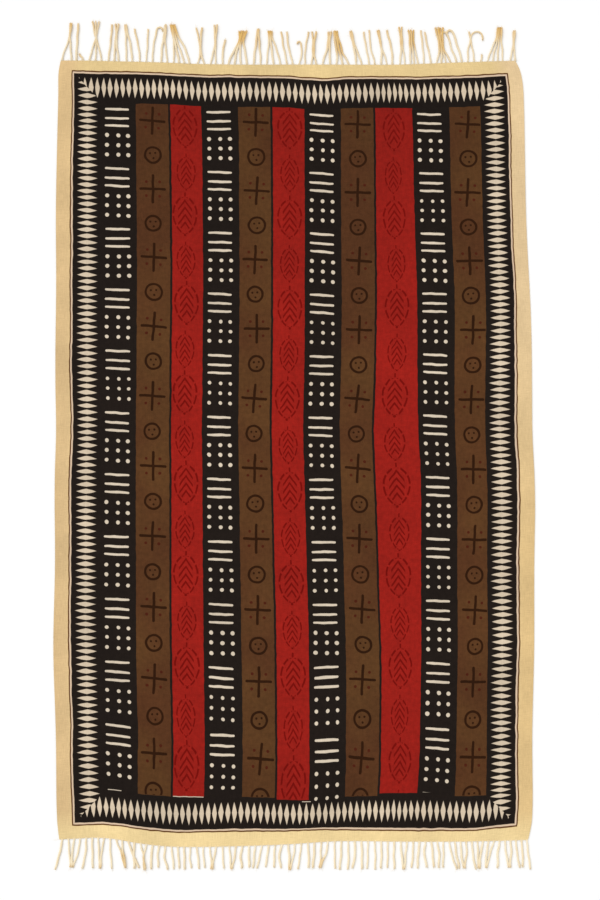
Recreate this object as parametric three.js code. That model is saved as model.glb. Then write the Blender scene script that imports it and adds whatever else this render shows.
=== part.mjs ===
// A printed mud cloth laid out flat: one woven sheet, with a fringe of its warp ends at each short end.
// Millimetres, +Z up. The sheet lies on Z = 0 with its length along Y and its printed face up.
// The origin is on that plane, below the middle of the whole outline.

import * as THREE from 'three';

// Driving dimensions
const SHEET_THICKNESS = 1.5;
const FRINGE_THICKNESS = 2.4;
const PIECE_GAP = 0.3;
const HEADING_DEPTH = 3;
const THREAD_WIDTH = 3.2;
const TIP_TAPER = 0.75;

// How finely the outlines are drawn, and small steps that keep the eyes of a tassel apart
const STEPS_ACROSS = 24;
const STEPS_ALONG = 36;
const LEG_STEPS = 3;
const CURL_STEPS = 6;
const CURL_END = -0.5;
const LEAST_TURN = 0.01;
const JOIN_STAGGER = 1.5;
const EYE_FOOT = 0.5;

// The two selvedges wander: how far each stands from the middle, at places along the length
const SELVEDGES = [
  { along: -912, left: -541, right: 545 },
  { along: -858, left: -547, right: 555 },
  { along: -652, left: -553, right: 558 },
  { along: -444, left: -560, right: 564 },
  { along: -165, left: -560, right: 569 },
  { along: -24, left: -559, right: 567 },
  { along: 260, left: -565, right: 566 },
  { along: 550, left: -564, right: 554 },
  { along: 835, left: -561, right: 552 },
  { along: 890, left: -561, right: 546 },
  { along: 921, left: -556, right: 533 },
];

// The two cut ends wander too: how far each stands from the middle, at places across the width
const ENDS = [
  { across: -556, top: 921, bottom: -912 },
  { across: -500, top: 921, bottom: -909 },
  { across: -455, top: 920, bottom: -907 },
  { across: -411, top: 919, bottom: -910 },
  { across: -366, top: 918, bottom: -918 },
  { across: -300, top: 916, bottom: -926 },
  { across: -235, top: 913, bottom: -928 },
  { across: -120, top: 911, bottom: -926 },
  { across: -13, top: 911, bottom: -922 },
  { across: 105, top: 911, bottom: -915 },
  { across: 245, top: 911, bottom: -916 },
  { across: 382, top: 916, bottom: -916 },
  { across: 473, top: 919, bottom: -914 },
  { across: 545, top: 921, bottom: -912 },
];

// Tassels of the top fringe, left to right: where the middle of the roots is, how many threads are
// gathered and how far their roots spread, how far the tip leans and reaches, and the share of the
// reach where the threads come together. One curls over to the right above its reach, by a radius
const TOP_TASSELS = [
  { at: -540, threads: 2, spread: 23, lean: 10, reach: 91, grip: 0.62 },
  { at: -517, threads: 1, lean: 4, reach: 90 },
  { at: -502, threads: 1, lean: -8, reach: 16 },
  { at: -471, threads: 3, spread: 29, lean: 0, reach: 96, grip: 0.46 },
  { at: -440, threads: 1, lean: 8, reach: 89 },
  { at: -421, threads: 2, spread: 10, lean: 1, reach: 91, grip: 0.75 },
  { at: -390, threads: 2, spread: 14, lean: -10, reach: 90, grip: 0.7 },
  { at: -365, threads: 1, lean: -13, reach: 80 },
  { at: -350, threads: 1, lean: 4, reach: 80 },
  { at: -335, threads: 1, lean: 10, reach: 86 },
  { at: -307, threads: 2, spread: 15, lean: 3, reach: 92, grip: 0.55 },
  { at: -265, threads: 4, spread: 38, lean: -23, reach: 94, grip: 0.66 },
  { at: -219, threads: 2, spread: 17, lean: -5, reach: 88, grip: 0.23 },
  { at: -190, threads: 2, spread: 12, lean: 6, reach: 96, grip: 0.39 },
  { at: -167, threads: 1, lean: 5, reach: 60 },
  { at: -132, threads: 4, spread: 45, lean: 13, reach: 82, grip: 0.67 },
  { at: -85, threads: 2, spread: 17, lean: 2, reach: 87, grip: 0.47 },
  { at: -46, threads: 3, spread: 33, lean: -9, reach: 82, grip: 0.75 },
  { at: -14, threads: 1, lean: -14, reach: 80 },
  { at: 0, threads: 1, lean: -15, reach: 80 },
  { at: 15, threads: 1, lean: 5, reach: 58 },
  { at: 29, threads: 1, lean: 8, reach: 80 },
  { at: 50, threads: 2, spread: 12, lean: 1, reach: 80, grip: 0.45 },
  { at: 80, threads: 2, spread: 18, lean: 11, reach: 80, grip: 0.6 },
  { at: 119, threads: 3, spread: 30, lean: -20, reach: 82, grip: 0.3 },
  { at: 158, threads: 2, spread: 13, lean: -20, reach: 82, grip: 0.64 },
  { at: 182, threads: 1, lean: -13, reach: 80 },
  { at: 196, threads: 1, lean: -14, reach: 84 },
  { at: 218, threads: 2, spread: 14, lean: -14, reach: 84, grip: 0.51 },
  { at: 238, threads: 1, lean: -13, reach: 84 },
  { at: 262, threads: 2, spread: 12, lean: -5, reach: 91, grip: 0.46 },
  { at: 290, threads: 2, spread: 15, lean: -10, reach: 83, grip: 0.41 },
  { at: 313, threads: 1, lean: -7, reach: 81 },
  { at: 330, threads: 1, lean: -15, reach: 76 },
  { at: 360, threads: 3, spread: 30, lean: -11, reach: 86, grip: 0.43 },
  { at: 391, threads: 1, lean: -21, reach: 70 },
  { at: 404, threads: 1, lean: -20, reach: 72 },
  { at: 425, threads: 2, spread: 15, lean: -5, reach: 58, grip: 0.62, curl: 18 },
  { at: 449, threads: 1, lean: 2, reach: 17 },
  { at: 483, threads: 4, spread: 36, lean: 12, reach: 82, grip: 0.64 },
  { at: 525, threads: 2, spread: 12, lean: 4, reach: 73, grip: 0.43 },
];

// The bottom fringe is more even: its roots are a pitch apart, and these are the threads gathered in
// each tassel, left to right
const BOTTOM_TASSELS = [
  1, 3, 1, 1, 2, 1, 2, 1, 1, 2, 1, 1, 1, 1, 1, 1, 1, 1, 1, 2, 2, 2, 1, 1, 1, 1, 1, 1, 1,
  2, 1, 1, 2, 1, 1, 1, 1, 1, 1, 1, 1, 1, 1, 2, 1, 1, 1, 1, 2, 1, 1, 2, 3, 2, 1, 2, 1, 2,
];
const BOTTOM_FIRST_ROOT = -533;
const BOTTOM_PITCH = 14.3;
const BOTTOM_REACH = 60;
const BOTTOM_REACH_UNEVEN = 4;
const BOTTOM_LEAN_UNEVEN = 5;
const BOTTOM_END_LEAN = 13;
const BOTTOM_GRIP = 0.72;

// Numbers of the fixed unevenness, and the place in it where the reaches start
const WAVE_STEP = 12.9898;
const WAVE_HEIGHT = 43758.5453;
const REACH_START = 100;

const CLOTH_COLOUR = 0x5f3b2a;
const FRINGE_COLOUR = 0xe8cd96;

// A smooth curve through one column of a table, read at a place in its first column
function curveThrough(rows, key, column) {
  const stations = rows.map((row) => row[key]);
  const values = rows.map((row) => row[column]);
  const curve = new THREE.CubicInterpolant(stations, values, 1);
  return (place) => curve.evaluate(place)[0];
}

const leftEdge = curveThrough(SELVEDGES, 'along', 'left');
const rightEdge = curveThrough(SELVEDGES, 'along', 'right');
const topEdge = curveThrough(ENDS, 'across', 'top');
const bottomEdge = curveThrough(ENDS, 'across', 'bottom');

// Corners of the sheet, from the ends of the selvedge table
const FIRST = SELVEDGES[0];
const LAST = SELVEDGES[SELVEDGES.length - 1];

// Evenly spaced places from one value to another, both included
function places(from, to, steps) {
  return Array.from({ length: steps + 1 }, (_, i) => THREE.MathUtils.lerp(from, to, i / steps));
}

// A fixed unevenness between -1 and 1 for the nth thread
function uneven(n) {
  const wave = Math.sin((n + 1) * WAVE_STEP) * WAVE_HEIGHT;
  return 2 * (wave - Math.floor(wave)) - 1;
}

function sheetShape() {
  const inner = places(LAST.along, FIRST.along, STEPS_ALONG).slice(1, -1);
  const top = places(LAST.left, LAST.right, STEPS_ACROSS);
  const bottom = places(FIRST.right, FIRST.left, STEPS_ACROSS);
  return new THREE.Shape([
    ...top.map((x) => new THREE.Vector2(x, topEdge(x))),
    ...inner.map((y) => new THREE.Vector2(rightEdge(y), y)),
    ...bottom.map((x) => new THREE.Vector2(x, bottomEdge(x))),
    ...inner.reverse().map((y) => new THREE.Vector2(leftEdge(y), y)),
  ]);
}

// A thread's centre line from its root to its end: it leaves the cloth straight and leans over softly
function threadLine(root, end, steps) {
  return places(0, 1, steps).map((share) => {
    const lean = THREE.MathUtils.smoothstep(share, 0, 1);
    return new THREE.Vector2(
      THREE.MathUtils.lerp(root.x, end.x, lean),
      THREE.MathUtils.lerp(root.y, end.y, share),
    );
  });
}

// The points of a closed outline where it bends, without those on a straight run
function bends(points) {
  return points.filter((point, i) => {
    const before = points.at(i - 1);
    const after = points[(i + 1) % points.length];
    const turn = after.clone().sub(point).cross(point.clone().sub(before));
    return Math.abs(turn) > LEAST_TURN;
  });
}

// One side of a thread, a fixed distance to the left or right of its centre line
function beside(line, offset) {
  return line.map((point) => new THREE.Vector2(point.x + offset, point.y));
}

// Both sides of a stem round its tip, tapering towards it. side is +1 where left comes first
function roundStem(line, width, side) {
  const up = [];
  const down = [];
  line.forEach((point, i) => {
    const before = line[Math.max(i - 1, 0)];
    const after = line[Math.min(i + 1, line.length - 1)];
    const along = after.clone().sub(before).normalize();
    const half = (width / 2) * THREE.MathUtils.lerp(1, TIP_TAPER, i / (line.length - 1));
    const across = new THREE.Vector2(-along.y, along.x).multiplyScalar(half * side);
    up.push(point.clone().add(across));
    down.unshift(point.clone().sub(across));
  });
  return [...up, ...down];
}

// The arch of a stem that curls over to the right, from its springing point
function curlArch(springing, radius) {
  return places(Math.PI, CURL_END, CURL_STEPS).slice(1).map((angle) => new THREE.Vector2(
    springing.x + radius * (1 + Math.cos(angle)),
    springing.y + radius * Math.sin(angle),
  ));
}

// One tassel, as the outline round it from its leftmost to its rightmost root, and the eyes between
// its legs. outward is +1 at the top end and -1 at the bottom end
function tasselOutline(tassel, edge, outward) {
  const half = THREAD_WIDTH / 2;
  const rootAt = (x) => new THREE.Vector2(x, edge(x) + (PIECE_GAP + HEADING_DEPTH) * outward);
  const tip = new THREE.Vector2(tassel.at + tassel.lean, edge(tassel.at) + tassel.reach * outward);
  const middle = rootAt(tassel.at);
  if (tassel.threads === 1) {
    const line = threadLine(middle, tip, LEG_STEPS);
    return { round: roundStem(line, THREAD_WIDTH, outward), eyes: [] };
  }
  const gathered = THREAD_WIDTH * (tassel.threads - 1);
  const meeting = middle.clone().lerp(tip, tassel.grip);
  const legs = places(-0.5, 0.5, tassel.threads - 1).map((share, i) => threadLine(
    rootAt(tassel.at + share * tassel.spread),
    new THREE.Vector2(meeting.x + share * gathered, meeting.y - i * JOIN_STAGGER * outward),
    LEG_STEPS,
  ));
  const foot = new THREE.Vector2(0, EYE_FOOT * outward);
  const fromFoot = (line) => [line[0].clone().add(foot), ...line.slice(1)];
  const arch = tassel.curl ? curlArch(tip, tassel.curl) : [];
  const round = [
    ...beside(legs[0], -half).slice(0, -1),
    ...roundStem([meeting, tip, ...arch], gathered + THREAD_WIDTH, outward),
    ...beside(legs[legs.length - 1], half).slice(0, -1).reverse(),
  ];
  const eyes = legs.slice(1).map((leg, i) => new THREE.Path(bends([
    ...beside(fromFoot(leg), -half),
    ...beside(fromFoot(legs[i]), half).slice(0, -1).reverse(),
  ])));
  return { round, eyes };
}

// A comb: the strip of last weft rows along one end of the sheet, a gap away from it, and its tassels
function combShape(tassels, edge, from, to, outward) {
  const near = PIECE_GAP * outward;
  const far = (PIECE_GAP + HEADING_DEPTH) * outward;
  const outlines = tassels.map((tassel) => tasselOutline(tassel, edge, outward));
  const inside = places(to, from, STEPS_ACROSS);
  const comb = new THREE.Shape(bends([
    ...inside.map((x) => new THREE.Vector2(x, edge(x) + near)),
    new THREE.Vector2(from, edge(from) + far),
    ...outlines.flatMap((outline) => outline.round),
    new THREE.Vector2(to, edge(to) + far),
  ]));
  comb.holes = outlines.flatMap((outline) => outline.eyes);
  return comb;
}

// Tassels of the bottom fringe, with their roots a pitch apart and the two outermost leaning out
function bottomTassels() {
  let thread = 0;
  return BOTTOM_TASSELS.map((threads, n) => {
    const first = BOTTOM_FIRST_ROOT + thread * BOTTOM_PITCH;
    const spread = (threads - 1) * BOTTOM_PITCH;
    thread += threads;
    const outermost = (n === BOTTOM_TASSELS.length - 1) - (n === 0);
    return {
      at: first + spread / 2,
      threads,
      spread,
      lean: outermost * BOTTOM_END_LEAN + uneven(n) * BOTTOM_LEAN_UNEVEN,
      reach: BOTTOM_REACH + uneven(n + REACH_START) * BOTTOM_REACH_UNEVEN,
      grip: BOTTOM_GRIP,
    };
  });
}

function piece(name, shape, thickness, colour) {
  const geometry = new THREE.ExtrudeGeometry(shape, { depth: thickness, bevelEnabled: false });
  const material = new THREE.MeshStandardMaterial({ color: colour, roughness: 0.95, metalness: 0 });
  const mesh = new THREE.Mesh(geometry, material);
  mesh.name = name;
  return mesh;
}

const topComb = combShape(TOP_TASSELS, topEdge, LAST.left, LAST.right, 1);
const bottomComb = combShape(bottomTassels(), bottomEdge, FIRST.left, FIRST.right, -1);

const mudCloth = new THREE.Group();
mudCloth.add(
  piece('cloth', sheetShape(), SHEET_THICKNESS, CLOTH_COLOUR),
  piece('fringe_top', topComb, FRINGE_THICKNESS, FRINGE_COLOUR),
  piece('fringe_bottom', bottomComb, FRINGE_THICKNESS, FRINGE_COLOUR),
);

// Put the middle of the whole outline over the origin
const middle = new THREE.Box3().setFromObject(mudCloth).getCenter(new THREE.Vector3());
mudCloth.position.set(-middle.x, -middle.y, 0);

export default mudCloth;
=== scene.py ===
# %% [markdown]
# A printed mud cloth, laid out flat
#
# The object is one length of cotton, about 1.13 m wide and 1.83 m long. Its warp threads stay loose at
# the two short ends as a fringe, and its face is printed with black, brown and red stripes full of
# small drawn motifs. The CAD model already says where everything lies, so this lesson loads it as a
# fixed frame and builds a finer cloth and finer threads in the same places. The tables are in
# millimetres, as in the CAD model, with some rows set closer to the photograph, and every mesh is
# written in metres.

# %% Load the frame
import math
from collections import namedtuple

import bpy
import numpy as np
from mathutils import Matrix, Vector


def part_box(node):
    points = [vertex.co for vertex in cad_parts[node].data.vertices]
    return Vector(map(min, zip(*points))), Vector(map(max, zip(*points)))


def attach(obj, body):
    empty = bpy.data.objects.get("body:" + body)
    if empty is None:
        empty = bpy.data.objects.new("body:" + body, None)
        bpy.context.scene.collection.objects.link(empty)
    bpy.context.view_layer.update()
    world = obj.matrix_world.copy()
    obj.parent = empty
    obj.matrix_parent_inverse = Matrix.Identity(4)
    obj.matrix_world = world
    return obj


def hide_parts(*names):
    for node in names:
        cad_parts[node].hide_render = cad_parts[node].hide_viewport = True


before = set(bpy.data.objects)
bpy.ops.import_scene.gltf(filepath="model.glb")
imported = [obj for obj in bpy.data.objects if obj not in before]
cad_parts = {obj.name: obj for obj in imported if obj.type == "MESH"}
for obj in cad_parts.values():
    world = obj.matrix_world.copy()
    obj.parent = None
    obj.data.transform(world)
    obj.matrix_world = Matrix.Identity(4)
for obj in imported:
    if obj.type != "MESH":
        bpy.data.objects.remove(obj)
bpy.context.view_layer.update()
MM = 0.001

# %% [markdown]
# The outline of the sheet
#
# A cloth that has been washed and laid down by hand is never a true rectangle: its selvedges bow and
# its cut ends wander. The outline could be one closed curve, but four separate edge curves are more
# useful, because the weave and the print run between them. Each edge is a short table, and a smooth
# curve is drawn through its rows with the slope between the neighbouring rows. A little above the lower
# end the weft lies calmer than the end itself, so it has a column of its own.

# %% Four edge curves
Selvedge = namedtuple("Selvedge", "along left right")
SELVEDGES = [
    Selvedge(-912, -541, 545),
    Selvedge(-858, -547, 555),
    Selvedge(-652, -553, 558),
    Selvedge(-444, -560, 564),
    Selvedge(-165, -560, 569),
    Selvedge(-24, -559, 567),
    Selvedge(260, -565, 566),
    Selvedge(550, -564, 554),
    Selvedge(835, -561, 552),
    Selvedge(890, -561, 546),
    Selvedge(921, -556, 533),
]
End = namedtuple("End", "across top bottom weft")
ENDS = [
    End(-556, 921, -912, -911),
    End(-500, 921, -909, -911),
    End(-455, 920, -907, -911),
    End(-411, 919, -910, -914),
    End(-366, 918, -918, -918),
    End(-300, 916, -926, -923),
    End(-235, 913, -928, -926),
    End(-120, 911, -926, -925),
    End(-13, 911, -922, -922),
    End(105, 911, -915, -917),
    End(245, 911, -916, -916),
    End(382, 916, -916, -916),
    End(473, 919, -914, -914),
    End(545, 921, -912, -912),
]


def curve_through(rows, column):
    """A smooth curve through one column of a table, read at a place in its first column."""
    places = np.array([row[0] for row in rows], float)
    values = np.array([getattr(row, column) for row in rows], float)
    steps = np.diff(places)
    secants = np.diff(values) / steps
    slopes = np.empty_like(values)
    slopes[1:-1] = (values[2:] - values[:-2]) / (places[2:] - places[:-2])
    slopes[0] = 1.5 * secants[0] - 0.5 * slopes[1]
    slopes[-1] = 1.5 * secants[-1] - 0.5 * slopes[-2]

    def read(place):
        place = np.clip(place, places[0], places[-1])
        row = np.clip(np.searchsorted(places, place) - 1, 0, len(steps) - 1)
        share = (place - places[row]) / steps[row]
        turn_in = slopes[row] - secants[row]
        turn_out = slopes[row + 1] - secants[row]
        bend = (1 - share) * turn_in - share * turn_out
        return values[row] + steps[row] * share * (secants[row] + (1 - share) * bend)

    return read


left_edge = curve_through(SELVEDGES, "left")
right_edge = curve_through(SELVEDGES, "right")
top_edge = curve_through(ENDS, "top")
bottom_edge = curve_through(ENDS, "bottom")
lower_weft = curve_through(ENDS, "weft")
print("Width at the middle, mm:", float(right_edge(0) - left_edge(0)))

# %% [markdown]
# The woven sheet
#
# The cloth could be a flat plane with a bit of thickness, but then the print would run straight where
# the real one follows the bowed weave. So the sheet is a grid between the four edge curves. Every grid
# point remembers where it was on the straight cloth before it was laid down. That flat place is kept as
# a UV map named plan, in metres, and the print is drawn in it later. The upper edge pulls whole rows up
# and down, as the photograph shows, and the lower edge pulls only the last rows. The warp snakes a little
# to the left and right, so a table says how far at eight places across, the selvedges included. The
# frame was printed by eye, so another table says how far its upper side, its lower side and the lozenges
# of the lower side were set too high.

# %% Lay the grid between the edges
HALF_WIDTH = 560
HALF_LENGTH = 915
CELLS_ACROSS = 150
CELLS_ALONG = 240
PULL_OF_LOWER_END = 0.3
CALM_ABOVE = 130
SETTLING_ROUNDS = 3


def smooth_step(share):
    """A soft change from 0 to 1."""
    share = np.clip(share, 0, 1)
    return share * share * (3 - 2 * share)


COLUMNS = "along left_edge left_border brown middle red_left red_right right_border right_edge"
Wander = namedtuple("Wander", COLUMNS)
WANDERS = [
    Wander(-822, 2, 2, 0, 5, 3, -4, -1, -1),
    Wander(-696, 3, 0, 3, 8, 9, 3, 0, -2),
    Wander(-488, 2, 1, 3, 8, 8, 4, -1, -1),
    Wander(-279, 5, -1, 1, 1, 0, 2, -4, -3),
    Wander(-69, 1, -2, -1, -6, -7, 2, -3, -1),
    Wander(37, 4, 0, -2, -7, -10, -2, -5, -4),
    Wander(143, 4, 1, 1, -4, -5, -3, -4, -4),
    Wander(357, 6, 2, 4, 1, 3, 1, 3, -2),
    Wander(572, 2, -1, 3, 5, 7, 2, 6, -1),
    Wander(814, 2, -6, -5, 4, 5, -3, 2, -2),
]
WANDER_PLACES = (-560, -484, -330, 70, 196, 292, 484, 560)
Lift = namedtuple("Lift", "across upper lower lozenges")
LIFTS = [
    Lift(-468, -3, -1, 0),
    Lift(-399, -2, 0, 0),
    Lift(-295, -1, 2, -1.5),
    Lift(-191, -1.5, 4.5, -1.5),
    Lift(-122, 0, 4.5, 0),
    Lift(-17, -0.5, 2, -3.5),
    Lift(35, -4, 0, -4.5),
    Lift(86, -4.5, -2, -2),
    Lift(130, -2, -2, 1),
    Lift(225, 0, -1, 3),
    Lift(312, -2, -0.5, 3.5),
    Lift(420, -2, 0, 1),
    Lift(502, 0, 8, 0),
    Lift(545, 0, 9, 0),
]
Reach = namedtuple("Reach", "column starts ends")
LIFT_REACHES = [
    Reach("upper", (740, 800), (895, 912)),
    Reach("lower", (-915, -888), (-835, -770)),
    Reach("lozenges", (-884, -870), (-815, -740)),
]


def warp_wander(u, along):
    """How far to the right of its straight course the warp lies."""
    courses = [curve_through(WANDERS, column)(along) for column in Wander._fields[1:]]
    moved = courses[0]
    for n in range(len(WANDER_PLACES) - 1):
        share = (u - WANDER_PLACES[n]) / (WANDER_PLACES[n + 1] - WANDER_PLACES[n])
        moved = moved + (courses[n + 1] - courses[n]) * smooth_step(share)
    return moved


def between(value, starts, ends):
    """1 between two soft limits and 0 outside them."""
    begun = smooth_step((value - starts[0]) / (starts[1] - starts[0]))
    return begun * (1 - smooth_step((value - ends[0]) / (ends[1] - ends[0])))


across_share = np.linspace(0, 1, CELLS_ACROSS + 1)
along_share = np.linspace(0, 1, CELLS_ALONG + 1)[:, None]
plan_u = (2 * across_share - 1) * HALF_WIDTH + 0 * along_share
plan_v = (2 * along_share - 1) * HALF_LENGTH + 0 * across_share
upper_pull = smooth_step(along_share / PULL_OF_LOWER_END)
calm = smooth_step((plan_v + HALF_LENGTH) / CALM_ABOVE)
sheet_y = plan_v
for _ in range(SETTLING_ROUNDS):
    straight_x = left_edge(sheet_y) + (right_edge(sheet_y) - left_edge(sheet_y)) * across_share
    sheet_x = straight_x + warp_wander(plan_u, sheet_y)
    upper = top_edge(sheet_x) - HALF_LENGTH
    end = bottom_edge(sheet_x)
    lower = end + (lower_weft(sheet_x) - end) * calm + HALF_LENGTH
    sheet_y = plan_v + upper_pull * upper + (1 - upper_pull) * lower
    for column, starts, ends in LIFT_REACHES:
        sheet_y = sheet_y + between(plan_v, starts, ends) * curve_through(LIFTS, column)(sheet_x)

cloth_low, cloth_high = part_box("cloth")
shift_x = (cloth_low[0] + cloth_high[0]) / 2 / MM - (straight_x.min() + straight_x.max()) / 2
shift_y = (cloth_low[1] + cloth_high[1]) / 2 / MM - (sheet_y.min() + sheet_y.max()) / 2
print("Tables to frame, mm:", round(shift_x, 2), round(shift_y, 2))

# %% [markdown]
# Thickness and lie
#
# Cotton of this weight is under a millimetre thick, and it never lies dead flat: it keeps low swells
# from being folded. A simulation would settle to nearly nothing on a floor, so two crossing waves give
# the swell directly. The face and the underside are two copies of the grid, and a rim of faces closes
# them into one sheet with no open edge. The rim is marked sharp, or its shading would darken the margin.

# %% Build the closed sheet
SHEET_UNDERSIDE = 0.25
SHEET_THICKNESS = 0.9
SWELL = 1.6
Wave = namedtuple("Wave", "per_x per_y start")
SLOW_WAVES = (Wave(0.0071, 0.0043, 0.6), Wave(-0.0027, 0.0052, 0))
QUICK_WAVES = (Wave(0.013, -0.009, 2.1), Wave(0, 0.0167, 0.4))
SLOW_SHARE = 0.32
QUICK_SHARE = 0.18
RIM_ANGLE = math.radians(50)


def crossed(waves, x, y):
    """Two waves that run across each other, between -1 and 1."""
    one, other = [np.sin(wave.per_x * x + wave.per_y * y + wave.start) for wave in waves]
    return one * other


def swell(x, y):
    """How far the sheet stands off the floor, from 0 to 1."""
    return 0.5 + SLOW_SHARE * crossed(SLOW_WAVES, x, y) + QUICK_SHARE * crossed(QUICK_WAVES, x, y)


def sheet_middle(x, y):
    """The height of the middle of the sheet's thickness."""
    return SHEET_UNDERSIDE + SWELL * swell(x, y) + SHEET_THICKNESS / 2


def closed_sheet(x, y, middle, thickness):
    """Points and faces of a grid with an underside and a rim. Faces come as face, underside, rim."""
    rows, columns = x.shape
    face_points = np.stack([x, y, middle + thickness / 2], -1).reshape(-1, 3)
    under_points = np.stack([x, y, middle - thickness / 2], -1).reshape(-1, 3)
    number = np.arange(rows * columns).reshape(rows, columns)
    corners = [number[:-1, :-1], number[:-1, 1:], number[1:, 1:], number[1:, :-1]]
    face_quads = np.stack(corners, -1).reshape(-1, 4)
    under_quads = face_quads[:, ::-1] + rows * columns
    loop = np.concatenate([number[0, :-1], number[:-1, -1], number[-1, :0:-1], number[:0:-1, 0]])
    after = np.roll(loop, -1)
    rim_quads = np.stack([loop, loop + rows * columns, after + rows * columns, after], -1)
    return np.vstack([face_points, under_points]), [face_quads, under_quads, rim_quads]


def add_object(name, data):
    """Put a mesh, a lamp or a camera into the scene under a name."""
    made = bpy.data.objects.new(name, data)
    bpy.context.scene.collection.objects.link(made)
    return made


sheet_z = sheet_middle(sheet_x, sheet_y)
points, quads = closed_sheet(sheet_x + shift_x, sheet_y + shift_y, sheet_z, SHEET_THICKNESS)
cloth_mesh = bpy.data.meshes.new("cloth_sheet")
cloth_mesh.from_pydata((points * MM).tolist(), [], np.vstack(quads).tolist())
cloth_mesh.shade_smooth()
cloth_mesh.set_sharp_from_angle(angle=RIM_ANGLE)
cloth = add_object("cloth_sheet", cloth_mesh)
print("Sheet:", len(points), "points,", sum(map(len, quads)), "faces")

# %% [markdown]
# Two maps on the sheet
#
# The map plan carries the flat place of each point, so the print sits in the weave however the cloth
# lies. A second map lays the face and the underside side by side in one square, with most of the room
# for the face, so that a picture of the print made from this sheet stays sharp. A value named face_up
# tells the finish which side it is on.

# %% Write the maps
FACE_STRIP = (0.004, 0.812)
UNDER_STRIP = (0.824, 0.996)
MAP_MARGIN = 0.004


def add_map(mesh, name, per_corner):
    """Write one UV map from a row of two numbers for each face corner."""
    uv_map = mesh.uv_layers.new(name=name)
    uv_map.data.foreach_set("uv", np.ascontiguousarray(per_corner, np.float32).ravel())


def add_value(mesh, name, values):
    """Keep one number for each point of a mesh, for the finish to read."""
    layer = mesh.attributes.new(name, "FLOAT", "POINT")
    layer.data.foreach_set("value", values.astype(np.float32))


def strip(bounds):
    """Places in one upright strip of the picture square, for every grid point."""
    wide = bounds[0] + (bounds[1] - bounds[0]) * across_share + 0 * along_share
    high = MAP_MARGIN + (1 - 2 * MAP_MARGIN) * along_share + 0 * across_share
    return np.stack([wide, high], -1).reshape(-1, 2)


plan_places = np.stack([plan_u, plan_v], -1).reshape(-1, 2) * MM
grid_size = len(plan_places)
face_places = strip(FACE_STRIP)
picture_places = np.vstack([face_places, strip(UNDER_STRIP)])
corner_points = np.vstack(quads).ravel()
rim_start = 4 * (len(quads[0]) + len(quads[1]))
picture_corners = picture_places[corner_points]
picture_corners[rim_start:] = face_places[corner_points[rim_start:] % grid_size]
add_map(cloth_mesh, "plan", plan_places[corner_points % grid_size])
add_map(cloth_mesh, "OFBake", picture_corners)
add_value(cloth_mesh, "face_up", np.arange(2 * grid_size) < grid_size)
print("Maps:", [uv_map.name for uv_map in cloth_mesh.uv_layers])

# %% [markdown]
# The fringe
#
# Where the weft stops, the warp ends are left long. Some lie alone, and two to four neighbours have
# caught on each other and felted into tassels. The tassels are listed left to right: where the roots
# are, how many threads are gathered, how wide their roots spread, how far the tip leans and reaches,
# where along the reach they come together, and how golden they are from there on. Fan is how wide the
# tips stand apart, below zero for threads that cross over. Curl is the radius of a bent-over end, below
# zero to the left. Hair particles could do this, but they can't gather at chosen places, so every thread
# gets its own line.

# %% List the tassels of the upper fringe
ALONE = 0.5
PALE = 0.2
TASSEL_COLUMNS = "at threads spread lean reach grip gold fan curl"
Tassel = namedtuple("Tassel", TASSEL_COLUMNS, defaults=(ALONE, PALE, 0, 0))
TOP_TASSELS = [
    Tassel(-540, 2, 23, 10, 91, 0.62, 0.45),
    Tassel(-517, 1, 0, 4, 90),
    Tassel(-502, 1, 0, -8, 16),
    Tassel(-471, 3, 29, 0, 96, 0.42, 0.15, -15),
    Tassel(-440, 1, 0, 8, 89),
    Tassel(-421, 2, 10, 1, 91, 0.6, 0.3, 7),
    Tassel(-390, 2, 14, -10, 90, 0.8, 0.3),
    Tassel(-365, 1, 0, -13, 80),
    Tassel(-350, 1, 0, 4, 80),
    Tassel(-335, 1, 0, 9, 78, ALONE, PALE, 0, 8),
    Tassel(-307, 2, 15, 3, 92, 0.55, 0.15),
    Tassel(-265, 4, 38, -23, 94, 0.72, 0.75),
    Tassel(-219, 2, 17, -5, 88, 0.2, 0.35, 14),
    Tassel(-190, 2, 12, 6, 96, 0.42, 0.3, 7),
    Tassel(-167, 1, 0, 5, 60),
    Tassel(-132, 4, 45, 13, 82, 0.62, 0.9, 17),
    Tassel(-85, 2, 17, 2, 87, 0.48, 0.3),
    Tassel(-46, 3, 33, -9, 82, 0.8, 0.7, 9),
    Tassel(-14, 1, 0, -14, 80, ALONE, 0.25),
    Tassel(0, 1, 0, -15, 80),
    Tassel(15, 1, 0, 5, 52, ALONE, 0.3, 0, -5),
    Tassel(29, 1, 0, 8, 80, ALONE, 0.2),
    Tassel(50, 2, 12, 1, 80, 0.28, 0.4, 9),
    Tassel(80, 2, 18, 8, 80, 0.5, 0.4, 6),
    Tassel(119, 3, 30, -18, 82, 0.32, 0.6),
    Tassel(158, 2, 13, -20, 82, 0.56, 0.3),
    Tassel(182, 1, 0, -13, 80),
    Tassel(196, 1, 0, -14, 84),
    Tassel(218, 2, 14, -14, 84, 0.51, 0.6),
    Tassel(238, 1, 0, -13, 84),
    Tassel(262, 2, 12, -5, 91, 0.46, 0.6, 6),
    Tassel(290, 3, 18, -8, 83, 0.45, 0.75, 12),
    Tassel(313, 1, 0, -7, 81),
    Tassel(330, 1, 0, -15, 76),
    Tassel(360, 4, 34, -11, 86, 0.34, 0.7, 18),
    Tassel(391, 1, 0, -21, 66, ALONE, 0.2, 0, -9),
    Tassel(404, 1, 0, -20, 70, ALONE, 0.2, 0, -9),
    Tassel(418, 1, 0, 7, 60, ALONE, PALE, 0, 15),
    Tassel(433, 1, 0, -12, 73),
    Tassel(449, 1, 0, 2, 17),
    Tassel(483, 4, 36, 12, 82, 0.65, 0.7, 9),
    Tassel(525, 2, 12, 4, 73, 0.45, 0.3),
]
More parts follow.
